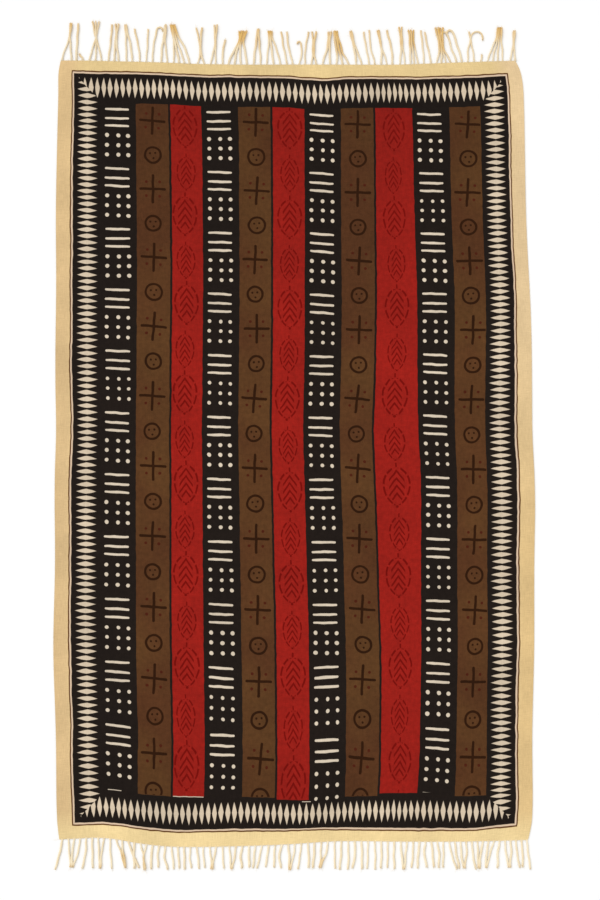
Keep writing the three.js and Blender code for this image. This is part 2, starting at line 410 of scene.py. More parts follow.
print("Upper fringe:", len(TOP_TASSELS), "tassels,", sum(t.threads for t in TOP_TASSELS), "threads")

# %% List the tassels of the lower fringe
Lower = namedtuple("Lower", "threads lean grip", defaults=(0.92,))
LOWER_ROWS = [
    (1, -16), (3, -5), (1, -8), (1, 2), (2, -2), (1, 5), (2, 15, 0.4), (1, 26), (1, 1), (2, 3, 0.4),
    (1, -3), (1, -1), (1, 6), (1, 6), (1, 4), (1, 2), (1, 2), (1, 6), (1, 4), (2, -2, 0.8), (1, 3),
    (2, -2), (1, -1), (1, 1), (1, -5), (1, -11), (1, -7), (1, -2), (1, -2), (2, -4, 0.85), (1, -8),
    (1, 2), (1, -4), (2, -10, 0.65), (1, 1), (1, -4), (1, 0), (1, -5), (1, 1), (1, -2), (1, 1),
    (1, -1), (1, -1), (1, 0), (2, 0), (1, -4), (1, -5), (1, 3), (1, 5), (1, 3), (1, -1), (1, 17),
    (1, 10), (2, 1), (1, 8), (2, -4), (2, -13), (1, -5), (2, 3), (1, 8), (1, 3), (1, 8),
]
LOWER_GOLD = 0.45
LOWER_PALE = 0.12
LOWER_TRIM = -977
LOWER_TRIM_UNEVEN = 3
SCATTER_STEP = 12.9898
SCATTER_SCALE = 43758.5453
Root = namedtuple("Root", "number across")
LOWER_ROOTS = [Root(0, -532), Root(18, -280), Root(37, 5), Root(56, 293), Root(75, 541)]


def uneven(n):
    """A fixed unevenness between -1 and 1 for the nth thread."""
    wave = math.sin((n + 1) * SCATTER_STEP) * SCATTER_SCALE
    return 2 * (wave - math.floor(wave)) - 1


def lower_tassels():
    """The lower fringe: roots at an easy spacing, and the tips trimmed nearly straight across."""
    root_place = curve_through(LOWER_ROOTS, "across")
    made = []
    first = 0
    for n, row in enumerate(LOWER_ROWS):
        tassel = Lower(*row)
        left = float(root_place(first))
        right = float(root_place(first + tassel.threads - 1))
        at = (left + right) / 2
        reach = float(bottom_edge(at)) - LOWER_TRIM + uneven(n) * LOWER_TRIM_UNEVEN
        gold = LOWER_GOLD if tassel.threads > 1 else LOWER_PALE
        made.append(Tassel(at, tassel.threads, right - left, tassel.lean, reach, tassel.grip, gold))
        first += tassel.threads
    return made


BOTTOM_TASSELS = lower_tassels()
print("Lower fringe:", len(BOTTOM_TASSELS), "tassels,", sum(t.threads for t in BOTTOM_TASSELS), "threads")

# %% [markdown]
# The lines that the threads follow
#
# A thread leaves the cloth, slants towards its neighbours until it meets them, and runs on beside them
# to the tip. Each line has the same number of points at equal distances, so that all threads can be
# worked on together as one array. Every second thread of a tassel is lifted on to the others. Where
# threads are gathered they are handled and soiled most, and so are the tips of the upper fringe, so each
# point also keeps how golden it is.

# %% Draw the thread lines
THREAD_POINTS = 30
LEG_POINTS = 12
CURL_POINTS = 10
PAIR_PITCH = 2.7
CLUMP_PITCH = 3.4
THREAD_HEIGHT = 2.4
OVER_LIFT = 1.7
ROOT_RISE = 9
ROOT_TUCK = 1.5
CURL_END = -0.5
SWAY = 0.45
SWAY_WAVE = 36
SWAY_START = 20
ROUNDING = 4
PART_AT = 0.5
BOW = 1.8
GATHER_SPAN = 0.3
GOLD_UNEVEN = (0.8, 1.2)
TIP_SOILING = 0.2
SOILED_FROM = 0.75
chance = np.random.default_rng(11)


def even_points(line, count):
    """The same line with points at equal distances, and the distance along it."""
    run = np.concatenate([[0], np.cumsum(np.linalg.norm(np.diff(line, axis=0), axis=1))])
    places = np.linspace(0, run[-1], count)
    return np.column_stack([np.interp(places, run, column) for column in line.T]), places


def course(root, meet, part, tip, curl):
    """A flat line from the root by the meeting and parting places to the tip, with its curl if any."""
    step = np.linspace(0, 1, LEG_POINTS)[:, None]
    leg = root + (meet - root) * np.hstack([step * (1 + step) / 2, step])
    stem = meet + (part - meet) * step[1:]
    end = part + (tip - part) * step[1:]
    angle = np.linspace(math.pi, CURL_END, CURL_POINTS)[1:, None]
    arch = tip + np.hstack([curl * (1 + np.cos(angle)), abs(curl) * np.sin(angle)])
    return np.vstack([leg, stem, end, arch] if curl else [leg, stem, end])


def rounded(line):
    """The same line with its corners rounded off and its ends kept."""
    for _ in range(ROUNDING):
        line[1:-1] = (line[:-2] + 2 * line[1:-1] + line[2:]) / 4
    return line


def thread_lines(tassel, edge, outward):
    """Lines of one tassel's threads with rows of x, y, z, and how golden each thread is along it."""
    middle = np.array([tassel.at, edge(tassel.at)])
    tip = middle + [tassel.lean, tassel.reach * outward]
    meet = middle + (tip - middle) * tassel.grip
    part = meet + (tip - meet) * PART_AT
    gathered = (CLUMP_PITCH if tassel.threads > 2 else PAIR_PITCH) * (tassel.threads - 1)
    lines, golds = [], []
    for n in range(tassel.threads):
        share = n / (tassel.threads - 1) - 0.5 if tassel.threads > 1 else 0.0
        x_root = tassel.at + share * tassel.spread
        root = np.array([x_root, edge(x_root) - ROOT_TUCK * outward])
        beside_at = np.array([share * gathered, 0])
        end = tip + [share * (tassel.fan or gathered), 0]
        parted = part + beside_at * (-1 if tassel.fan < 0 else 1)
        line, run = even_points(course(root, meet + beside_at, parted, end, tassel.curl), THREAD_POINTS)
        line = rounded(line)
        sway = np.sin(2 * math.pi * run / SWAY_WAVE + chance.uniform(0, 2 * math.pi))
        line[:, 0] += SWAY * sway * smooth_step(run / SWAY_START)
        line[:, 0] += chance.normal(0, BOW) * np.sin(math.pi * np.clip(run / tassel.reach, 0, 1)) ** 2
        beside = smooth_step((run / run[-1] - tassel.grip + GATHER_SPAN / 2) / GATHER_SPAN)
        root_height = sheet_middle(*root)
        height = root_height + (THREAD_HEIGHT - root_height) * smooth_step(run / ROOT_RISE)
        height = height + OVER_LIFT * (n % 2) * beside
        lines.append(np.column_stack([line, height]) + [shift_x, shift_y, 0])
        to_tip = smooth_step((run / run[-1] - SOILED_FROM) / (1 - SOILED_FROM))
        soiled = TIP_SOILING * to_tip * (outward > 0)
        golds.append(tassel.gold * beside * chance.uniform(*GOLD_UNEVEN) + soiled)
    return lines, golds


def fringe_lines(tassels, edge, outward):
    """All thread lines of one fringe as an array of threads, points and x, y, z, and their gold."""
    made = [thread_lines(tassel, edge, outward) for tassel in tassels]
    return np.array([line for lines, _ in made for line in lines]), np.vstack([g for _, g in made])


top_lines, top_gold = fringe_lines(TOP_TASSELS, top_edge, 1)
bottom_lines, bottom_gold = fringe_lines(BOTTOM_TASSELS, bottom_edge, -1)
print("Thread lines:", top_lines.shape, bottom_lines.shape)

# %% [markdown]
# From lines to yarn
#
# A warp end of this cloth is a soft yarn of three plies. Near the cloth the plies still lie side by side
# as separate warp threads, then they twist together, and at the tip they open again and fray. A round
# tube would show none of that, so each ply is its own thin tube that winds round the thread's line. Fine
# loose fibres stand off the tips, and short ones along the last row of weave.

# %% A tube round every line
def directions(lines):
    """For each point of each line: ahead, to the side, and over, as unit vectors."""
    ahead = np.gradient(lines, axis=1)
    ahead /= np.linalg.norm(ahead, axis=2, keepdims=True)
    side = np.cross(ahead, [0.0, 0.0, 1.0])
    side /= np.linalg.norm(side, axis=2, keepdims=True)
    return ahead, side, np.cross(side, ahead)


def tubes(lines, radii, sides):
    """Points and faces of tubes round the lines, closed at both ends."""
    count, rows, _ = lines.shape
    _, side, over = directions(lines)
    angle = np.linspace(0, 2 * math.pi, sides, endpoint=False)
    ring = side[:, :, None] * np.cos(angle)[:, None] + over[:, :, None] * np.sin(angle)[:, None]
    tube_points = (lines[:, :, None] + ring * radii[:, :, None, None]).reshape(-1, 3)
    number = np.arange(count * rows * sides).reshape(count, rows, sides)
    beside = np.roll(number, -1, axis=2)
    walls = [number[:, :-1], beside[:, :-1], beside[:, 1:], number[:, 1:]]
    wall_quads = np.stack(walls, -1).reshape(-1, 4).tolist()
    caps = number[:, 0, ::-1].tolist() + number[:, -1].tolist()
    return tube_points, wall_quads + caps


two_points = np.array([[[0, 0, 0], [1, 0, 0]]], float)
print("Faces of a three-sided tube with two rows:", len(tubes(two_points, np.ones((1, 2)), 3)[1]))

# %% Twist the plies
PLIES = 3
PLY_SIDES = 6
PLY_RADIUS = 1.45
PLY_OFFSET = 1.2
PLY_UNEVEN = 0.16
FLOOR_GAP = 0.1
PLY_FLATNESS = 0.6
PLY_ROOT_RADIUS = 0.75
PLY_TIP_RADIUS = 0.75
ROOT_SPREAD = 2.0
TWIST_PITCH = 17
TWIST_START = 11
FRAY_LENGTH = 9
FRAY = 0.7
FRAY_UNEVEN = (0.2, 1.6)


def plies(lines):
    """Centre lines and radii of the plies of every thread."""
    _, side, over = directions(lines)
    steps = np.linalg.norm(np.diff(lines, axis=1), axis=2)
    run = np.concatenate([np.zeros((len(lines), 1)), np.cumsum(steps, axis=1)], axis=1)
    to_tip = run[:, -1:] - run
    twisted = smooth_step(run / TWIST_START)
    frayed = smooth_step(1 - to_tip / FRAY_LENGTH)
    begin = chance.uniform(0, 1, (len(lines), 1))
    thick = 1 + PLY_UNEVEN * chance.uniform(-1, 1, (len(lines), 1))
    radius = PLY_ROOT_RADIUS + (PLY_RADIUS * thick - PLY_ROOT_RADIUS) * twisted
    radius = radius + (PLY_TIP_RADIUS - radius) * frayed
    made = []
    for ply in range(PLIES):
        angle = 2 * math.pi * (run / TWIST_PITCH + ply / PLIES + begin)
        stray = 1 + frayed * FRAY * chance.uniform(*FRAY_UNEVEN, (len(lines), 1))
        reach = PLY_OFFSET * thick * stray * twisted
        flat = (ply - 1) * ROOT_SPREAD * (1 - twisted)
        move = side * (flat + reach * np.cos(angle))[:, :, None]
        lift = over * (reach * PLY_FLATNESS * np.sin(angle))[:, :, None]
        line = lines + move + lift
        line[:, :, 2] = np.maximum(line[:, :, 2], radius + FLOOR_GAP)
        made.append(line)
    return np.concatenate(made), np.tile(radius, (PLIES, 1))


print("Plies in every thread:", PLIES)

# %% Loose fibres
FIBRE_POINTS = 6
FIBRE_SIDES = 3
FIBRE_RADIUS = 0.2
FIBRE_TAPER = 0.7
FIBRE_BEND = 0.35
FIBRE_FLATNESS = (1, 1, 0.3)
FIBRE_LOWEST = 0.3
TIP_FIBRES = 8
TIP_FIBRE_ROWS = (THREAD_POINTS * 3 // 4, THREAD_POINTS)
TIP_FIBRE_SPREAD = 0.45
TIP_FIBRE_LENGTHS = (3, 7)
EDGE_FIBRE_PITCH = 2.4
EDGE_FIBRE_JITTER = 1
EDGE_FIBRE_TUCK = 0.8
EDGE_FIBRE_SPREAD = 0.5
EDGE_FIBRE_LENGTHS = (1.5, 5)
EDGE_FIBRE_MARGIN = 4


def fibres(starts, aims, lengths):
    """Thin curved lines from starting points, towards aims, with a random bend, and their radii."""
    share = np.linspace(0, 1, FIBRE_POINTS)[None, :, None]
    bend = chance.normal(0, FIBRE_BEND, (len(starts), 1, 3)) * FIBRE_FLATNESS
    lines = starts[:, None] + lengths[:, None, None] * (aims[:, None] * share + bend * share * share)
    lines[:, :, 2] = np.maximum(lines[:, :, 2], FIBRE_LOWEST)
    radii = FIBRE_RADIUS * (1 - FIBRE_TAPER * share[0, :, 0])
    return lines, radii + np.zeros((len(starts), 1))


def tip_fibres(lines, gold):
    """Fibres that stand off the last stretch of every thread, with its gold."""
    thread = np.repeat(np.arange(len(lines)), TIP_FIBRES)
    row = chance.integers(*TIP_FIBRE_ROWS, len(thread))
    ahead, side, _ = directions(lines)
    aim = ahead[thread, row] + side[thread, row] * chance.normal(0, TIP_FIBRE_SPREAD, (len(thread), 1))
    made, radii = fibres(lines[thread, row], aim, chance.uniform(*TIP_FIBRE_LENGTHS, len(thread)))
    return made, radii, np.repeat(gold[thread, row][:, None], FIBRE_POINTS, axis=1)


def edge_fibres(edge, outward):
    """Short ends that stick out of the last row of weave."""
    first = ENDS[0].across + EDGE_FIBRE_MARGIN
    last = ENDS[-1].across - EDGE_FIBRE_MARGIN
    x = np.arange(first, last, EDGE_FIBRE_PITCH)
    x = x + chance.uniform(-EDGE_FIBRE_JITTER, EDGE_FIBRE_JITTER, len(x))
    y = edge(x) - EDGE_FIBRE_TUCK * outward
    starts = np.column_stack([x + shift_x, y + shift_y, sheet_middle(x, y)])
    aim = np.column_stack([chance.normal(0, EDGE_FIBRE_SPREAD, len(x)), 0 * x + outward, 0 * x])
    return fibres(starts, aim, chance.uniform(*EDGE_FIBRE_LENGTHS, len(x)))


print("Fibres at each tip:", TIP_FIBRES)

# %% Join each fringe into one piece
def fringe_piece(name, lines, gold, edge, outward):
    """One mesh with a fringe's plies and fibres, and two values for the finish at each point."""
    ply_lines, ply_radii = plies(lines)
    edge_lines, edge_radii = edge_fibres(edge, outward)
    bundles = [
        (ply_lines, ply_radii, np.tile(gold, (PLIES, 1)), PLY_SIDES),
        (*tip_fibres(lines, gold), FIBRE_SIDES),
        (edge_lines, edge_radii, np.zeros(edge_lines.shape[:2]), FIBRE_SIDES),
    ]
    all_points, all_faces, all_gold, all_tones = [], [], [], []
    for bundle_lines, radii, bundle_gold, sides in bundles:
        count, rows, _ = bundle_lines.shape
        start = sum(map(len, all_points))
        tube_points, faces = tubes(bundle_lines, radii, sides)
        tone = chance.uniform(0, 1, max(count // PLIES, 1))
        all_points.append(tube_points)
        all_faces += [[start + corner for corner in face] for face in faces]
        all_gold.append(np.repeat(bundle_gold.ravel(), sides))
        all_tones.append(np.repeat(np.resize(tone, count), rows * sides))
    mesh = bpy.data.meshes.new(name)
    mesh.from_pydata((np.vstack(all_points) * MM).tolist(), [], all_faces)
    mesh.shade_smooth()
    add_value(mesh, "gold", np.concatenate(all_gold))
    add_value(mesh, "tone", np.concatenate(all_tones))
    piece = add_object(name, mesh)
    print(name, "has", len(mesh.vertices), "points and", len(mesh.polygons), "faces")
    return piece


fringe_top = fringe_piece("yarn_fringe_top", top_lines, top_gold, top_edge, 1)
fringe_bottom = fringe_piece("yarn_fringe_bottom", bottom_lines, bottom_gold, bottom_edge, -1)

# %% [markdown]
# Writing a print as arithmetic
#
# The print could be painted as a picture, but a picture has a fixed sharpness and can't be changed.
# Here it is arithmetic: for every place on the cloth, a short sum says how far the nearest drawn line
# is, in millimetres, and below zero means inside it. Such sums need many Math nodes, so a small class
# wraps a socket. Adding or comparing two of them adds the node that does it.

# %% A socket that can do sums
class Cue:
    """One output of a shader node. Sums with it add Math nodes to the tree being written."""

    tree = None

    def __init__(self, socket):
        self.socket = socket

    @classmethod
    def node(cls, kind, settings, sockets, out=0):
        """Add a node: its settings first, then the values or links of its sockets."""
        made = cls.tree.nodes.new(kind)
        for name, value in settings.items():
            setattr(made, name, value)
        for key, value in sockets.items():
            if isinstance(value, Cue):
                cls.tree.links.new(value.socket, made.inputs[key])
            else:
                made.inputs[key].default_value = value
        return cls(made.outputs[out])

    def other(self, name):
        """Another output of the same node."""
        return Cue(self.socket.node.outputs[name])

    def math(self, operation, *terms):
        return self.node("ShaderNodeMath", {"operation": operation}, dict(enumerate((self, *terms))))

    def __add__(self, term):
        return self.math("ADD", term)

    def __sub__(self, term):
        return self.math("SUBTRACT", term)

    def __rsub__(self, term):
        return self.node("ShaderNodeMath", {"operation": "SUBTRACT"}, {0: term, 1: self})

    def __mul__(self, term):
        return self.math("MULTIPLY", term)

    def __truediv__(self, term):
        return self.math("DIVIDE", term)

    def __gt__(self, term):
        return self.math("GREATER_THAN", term)

    def __mod__(self, term):
        return self.math("FLOORED_MODULO", term)

    def __abs__(self):
        return self.math("ABSOLUTE")

    __radd__ = __add__
    __rmul__ = __mul__


def least(first, *rest):
    """The smallest of several values: the union of shapes given as distances."""
    for value in rest:
        first = first.math("MINIMUM", value)
    return first


def most(first, *rest):
    """The largest of several values: what several shapes have in common."""
    for value in rest:
        first = first.math("MAXIMUM", value)
    return first


print("Operators ready:", [name for name in vars(Cue) if name.startswith("__r")])

# %% Small helpers for drawing
EDGE_BLUR = 0.9
# A Mix node has sockets for numbers, vectors and colours in turn, so those for colours are found by number.
MIX_SHARE = 0
MIX_UNDER = 6
MIX_OVER = 7
MIX_COLOUR = 2


def length(x, y):
    """The distance of a place from the middle of a motif."""
    place = Cue.node("ShaderNodeCombineXYZ", {}, {0: x, 1: y})
    return Cue.node("ShaderNodeVectorMath", {"operation": "LENGTH"}, {0: place}, "Value")


def ink(distance, blur=EDGE_BLUR):
    """1 inside a shape and 0 outside, with a narrow soft edge as dye has on cotton."""
    settings = {"operation": "MULTIPLY_ADD", "use_clamp": True}
    return Cue.node("ShaderNodeMath", settings, {0: distance, 1: -1 / blur, 2: 0.5})


def rise(value, low, high):
    """0 up to low, 1 from high, and a straight ramp between."""
    settings = {"operation": "MULTIPLY_ADD", "use_clamp": True}
    slope = 1 / (high - low)
    return Cue.node("ShaderNodeMath", settings, {0: value, 1: slope, 2: -low * slope})


def paint(under, over, mask):
    """One colour over another where the mask is 1."""
    sockets = {MIX_SHARE: mask, MIX_UNDER: under, MIX_OVER: over}
    return Cue.node("ShaderNodeMix", {"data_type": "RGBA"}, sockets, MIX_COLOUR)


def vector(operation, *terms):
    return Cue.node("ShaderNodeVectorMath", {"operation": operation}, dict(enumerate(terms)))


def split(place):
    """The three numbers of a place or a colour."""
    first = Cue.node("ShaderNodeSeparateXYZ", {}, {0: place})
    return first, first.other("Y"), first.other("Z")


def noise(place, per_metre, detail=2.0, out="Fac", dimensions="2D"):
    """Soft random clouds, so many to the metre."""
    sockets = {"Vector": place, "Scale": per_metre, "Detail": detail}
    return Cue.node("ShaderNodeTexNoise", {"noise_dimensions": dimensions}, sockets, out)


def drifting(place, per_metre, sway):
    """The same place, moved about by up to half the sway, as a hand drifts while it prints."""
    clouds_of_colour = noise(place, per_metre, detail=1.0, out="Color")
    drift = vector("SUBTRACT", clouds_of_colour, (0.5, 0.5, 0.5))
    return vector("MULTIPLY_ADD", drift, (sway, sway, 0.0), place)


def dye(red, green, blue):
    """A colour as the eye names it, 0 to 255, as the light values that a shader works in."""
    shares = [value / 255 for value in (red, green, blue)]
    return (*[s / 12.92 if s <= 0.04045 else ((s + 0.055) / 1.055) ** 2.4 for s in shares], 1.0)


print("Tan ground as light values:", [round(value, 3) for value in dye(230, 201, 148)])

# %% [markdown]
# Places on the flat cloth
#
# Everything is drawn in the plan map, so the print follows the weave. The printer's hand adds two kinds
# of unevenness: a slow drift, as blocks and lines wander down the cloth, and a quick tremble along every
# edge. Both move the place that is looked up, so all motifs share them. The whole print also lies a
# trifle askew on the cloth.

# %% Start the printed cotton
SLOW_DRIFT = 0.003
SLOW_PER_METRE = 3.2
QUICK_TREMBLE = 0.0026
QUICK_PER_METRE = 42.0
PRINT_SKEW = 0.008


def new_finish(name):
    """A material and its shader. From here on, sums add their nodes to its tree."""
    material = bpy.data.materials.new(name)
    material.use_nodes = True
    Cue.tree = material.node_tree
    return material, Cue.tree.nodes["Principled BSDF"]


cotton, cotton_face = new_finish("printed_cotton")
nodes_at_start = len(Cue.tree.nodes)
plan = Cue.node("ShaderNodeUVMap", {"uv_map": "plan"}, {})
drawn = drifting(drifting(plan, SLOW_PER_METRE, SLOW_DRIFT), QUICK_PER_METRE, QUICK_TREMBLE)
drawn_across, drawn_along, _ = split(drawn)
u = drawn_across / MM
v = drawn_along / MM + u * PRINT_SKEW
print("Places in millimetres take", len(Cue.tree.nodes) - nodes_at_start, "nodes")

# %% [markdown]
# The stripes
#
# Eleven stripes run down the cloth: black ones with bars and dots, brown ones with crosses and circles,
# and red ones with leaves. Each has its two edges, how far its motifs sit to the right of its middle line,
# the height of its first motif, the pitch of its repeat, how much its last motif is dropped, because the
# printer stretched the last repeat to reach the border, and its lower end. For the black ones it also says
# how much the blocks fall to the right and how that changes from block to block. The nearest stripe of a
# kind is found with a step at the middle between two neighbours. Three slivers below the stripes, where
# the border didn't quite close up, stayed bare.

# %% List the stripes
STRIPE_COLUMNS = "left right slide first pitch dropped last lean turn"
Stripe = namedtuple("Stripe", STRIPE_COLUMNS, defaults=(0, 0))
BLACK = [
    Stripe(-460, -368, 2, 798, 145.5, 0, -785, -0.02, 0.005),
    Stripe(-214, -126, -3, 799, 146, 12, -802, -0.025, 0.006),
    Stripe(28, 114, -3, 797, 145.5, 40, -824, 0.055, -0.011),
    Stripe(292, 379, -3, 796, 144.5, 13, -802, 0.05, 0.002),
]
BROWN = [
    Stripe(-368, -290.5, 1, 771, 164.5, 7, -807),
    Stripe(-126, -51, 2, 775, 165, 17, -808),
    Stripe(114, 191, 0, 772, 164, 29, -810),
    Stripe(379, 451, 4, 768, 164.5, 13, -809),
]
RED = [
    Stripe(-285.5, -213, -4, 758, 212, 21, -805),
    Stripe(-46, 28, 1, 759, 215.5, 37, -812),
    Stripe(196, 292, -2, 757, 211.5, 12, -804),
]
STRIPES_TOP = 812
DROP_FROM = 1330
DROP_TO = 1600
Sliver = namedtuple("Sliver", "left right along")
SLIVERS = [Sliver(-284, -215, -806), Sliver(14, 32, -816), Sliver(-437, -407, -803)]
SLIVER_HALF = 0.8


def by_stripe(stripes, value_of):
    """A value that changes from stripe to stripe, with a step between neighbours."""
    value = value_of(stripes[0])
    for before, after in zip(stripes, stripes[1:]):
        step = u > (before.right + after.left) / 2
        value = step * (value_of(after) - value_of(before)) + value
    return value


def outside(value, low, high):
    """How far a value lies outside two limits, and below zero between them."""
    return abs(value - (low + high) / 2) - (high - low) / 2


def band(stripes):
    """How far a place is from the nearest stripe of a kind."""
    sides = [outside(u, s.left, s.right) for s in stripes]
    return most(least(*sides), v - STRIPES_TOP, by_stripe(stripes, lambda s: s.last) - v)


def in_stripe(stripes, above):
    """Place from the stripe's middle line and down from the motif, its repeat, and a stripe number."""
    x = u - by_stripe(stripes, lambda s: (s.left + s.right) / 2 + s.slide)
    down = by_stripe(stripes, lambda s: s.first) - v
    pitch = by_stripe(stripes, lambda s: s.pitch)
    dropped = by_stripe(stripes, lambda s: s.dropped)
    down = down - dropped * rise(down, DROP_FROM, DROP_TO)
    repeat = ((down + above) / pitch).math("FLOOR")
    return x, down - repeat * pitch, repeat, by_stripe(stripes, stripes.index)


brown_band = band(BROWN)
red_band = band(RED)
bare = [most(outside(u, s.left, s.right), abs(v - s.along)) for s in SLIVERS]
bare_slivers = least(*bare) - SLIVER_HALF
print("Stripes:", len(BLACK), "black,", len(BROWN), "brown,", len(RED), "red")

# %% [markdown]
# Bars and dots
#
# Down every black stripe a block of three bars alternates with a block of nine dots. Hand-cut blocks are
# never straight, so besides the lean of its stripe, a random number for each repeat tilts the whole block
# a little and slides it sideways. The bars swell in the middle and have round ends.

# %% Draw bars and dots
BLOCK_ABOVE = 14
BAR_ROWS = (0, 22.5, 41.5)
BAR_HALF_LENGTH = 29
BAR_HALF_THICK = 2.9
BAR_THINNING = 0.7
DOT_ROWS = (65.5, 88.7, 112)
DOT_COLUMNS = (-23.7, 2.7, 25.7)
DOT_RADIUS = 4.35
DOT_UNEVEN = 0.8
BLOCK_LEAN = 0.015
BLOCK_TILT = 0.05
BLOCK_SLIDE = 2.5


def random_for(number, stripe):
    """Three random numbers for one repeat of one stripe."""
    pair = Cue.node("ShaderNodeCombineXYZ", {}, {0: number, 1: stripe})
    settings = {"noise_dimensions": "2D"}
    return split(Cue.node("ShaderNodeTexWhiteNoise", settings, {"Vector": pair}, "Color"))


def nearest(value, places):
    """Distance to the nearest of a few places."""
    return least(*[abs(value - place) for place in places])


def bars_and_dots():
    x, y, repeat, stripe = in_stripe(BLACK, BLOCK_ABOVE)
    tilt, slide, size = random_for(repeat, stripe)
    x = x + (slide - 0.5) * BLOCK_SLIDE
    lean = by_stripe(BLACK, lambda s: s.lean) + by_stripe(BLACK, lambda s: s.turn) * repeat
    y = y - x * ((tilt - 0.5) * BLOCK_TILT + BLOCK_LEAN + lean)
    to_end = abs(x) - (BAR_HALF_LENGTH - BAR_HALF_THICK)
    thick = BAR_HALF_THICK - x * x * (BAR_THINNING / BAR_HALF_LENGTH**2)
    bar = length(most(to_end, 0.0), nearest(y, BAR_ROWS)) - thick
    dot_radius = (size - 0.5) * DOT_UNEVEN + DOT_RADIUS
    dot = length(nearest(x, DOT_COLUMNS), nearest(y, DOT_ROWS)) - dot_radius
    return most(least(bar, dot), band(BLACK))


block_print = bars_and_dots()
print("Bars in a block:", len(BAR_ROWS), "and dots:", len(DOT_ROWS) * len(DOT_COLUMNS))

# %% [markdown]
# Crosses and circles
#
# The brown stripes carry a cross with a dot in each corner, then a small circle with three dots in it.
# They were drawn with a stick dipped in mud, so the strokes have an even width and slightly round ends.
# All crosses lean a little to the right, each in its own way. The corner dots come back apart, because
# they have a redder ink.

# %% Draw crosses and circles
CROSS_ABOVE = 41
CROSS_HALF_WIDE = 28
CROSS_HALF_HIGH = 32
STROKE = 3.1
CORNER_DOT = (15.6, 17.2)
CORNER_DOT_RADIUS = 3.3
CIRCLE_DOWN = 83
CIRCLE_RADIUS = 18.3
CIRCLE_UNEVEN = 2
CIRCLE_STROKE = 2.7
CIRCLE_DOTS = ((-6.5, -3.5), (5.5, -4.5), (1, 7.5))
CIRCLE_DOT_RADIUS = 2.5
CROSS_LEAN = 0.045
CROSS_TILT = 0.09
CROSS_SLIDE = 5
CROSS_DRAW = 7


def crosses_and_circles():
    x, y, repeat, stripe = in_stripe(BROWN, CROSS_ABOVE)
    tilt, slide, size = random_for(repeat, stripe + CROSS_DRAW)
    x = x + (slide - 0.5) * CROSS_SLIDE
    lean = (tilt - 0.5) * CROSS_TILT + CROSS_LEAN
    cross_x = x + y * lean
    cross_y = y - x * lean
    flat_arm = length(most(abs(cross_x) - CROSS_HALF_WIDE, 0.0), cross_y)
    tall_arm = length(cross_x, most(abs(cross_y) - CROSS_HALF_HIGH, 0.0))
    corner = length(abs(cross_x) - CORNER_DOT[0], abs(cross_y) - CORNER_DOT[1])
    cross = least(flat_arm, tall_arm) - STROKE
    low = y - CIRCLE_DOWN
    radius = (size - 0.5) * CIRCLE_UNEVEN + CIRCLE_RADIUS
    ring = abs(length(x, low) - radius) - CIRCLE_STROKE
    dots = [length(x - dot_x, low - dot_y) for dot_x, dot_y in CIRCLE_DOTS]
    return least(cross, ring, least(*dots) - CIRCLE_DOT_RADIUS), corner - CORNER_DOT_RADIUS


cross_print, corner_dots = crosses_and_circles()
print("Crosses stand", 2 * CROSS_HALF_HIGH, "mm high")

# %% [markdown]
# Leaves
#
# The red stripes carry large and small leaves in turn: a dashed outline with a row of roofs inside, a short
# stem above and a dot below. The outline is fuller than a lozenge and more pointed than an oval: the share
# of the width is raised to a power between 1 and 2, and dividing by the steepness turns the sum into
# millimetres. Four dashes fall on each side. One drawing does for both sizes, because the small leaf is
# the large one looked up in a stretched place.

# %% Draw leaves
LEAF_ABOVE = 60
SMALL_LEAF_DOWN = 110
SMALL_LEAF_WIDTH = 0.76
SMALL_LEAF_LENGTH = 0.86
LEAF_HALF_WIDE = 27.3
LEAF_HALF_HIGH = 46
LEAF_POWER = 1.43
LEAF_TAPER = 0.1
OUTLINE_TOP = -43.5
OUTLINE_BOTTOM = 44
OUTLINE_STROKE = 2.1
LEAF_STROKE = 1.9
LEAF_DASHES = 10
DASH_GAP = 0.78
DASH_SHIFT = 1.5
DASH_SHARPNESS = 3
ROOF_PITCH = 17.4
ROOF_SLOPE = 1.42
ROOF_ACROSS = 0.58
ROOF_TOP = -44.7
ROOF_BOTTOM = 25
ROOF_HALF_WIDE = 16
ROOF_ROOM = 6
STEM_AT = -50
STEM_HALF = 3.5
LEAF_DOT_AT = 47
LEAF_DOT_RADIUS = 3
LEAF_SLIDE = 5
LEAF_DRAW = 13


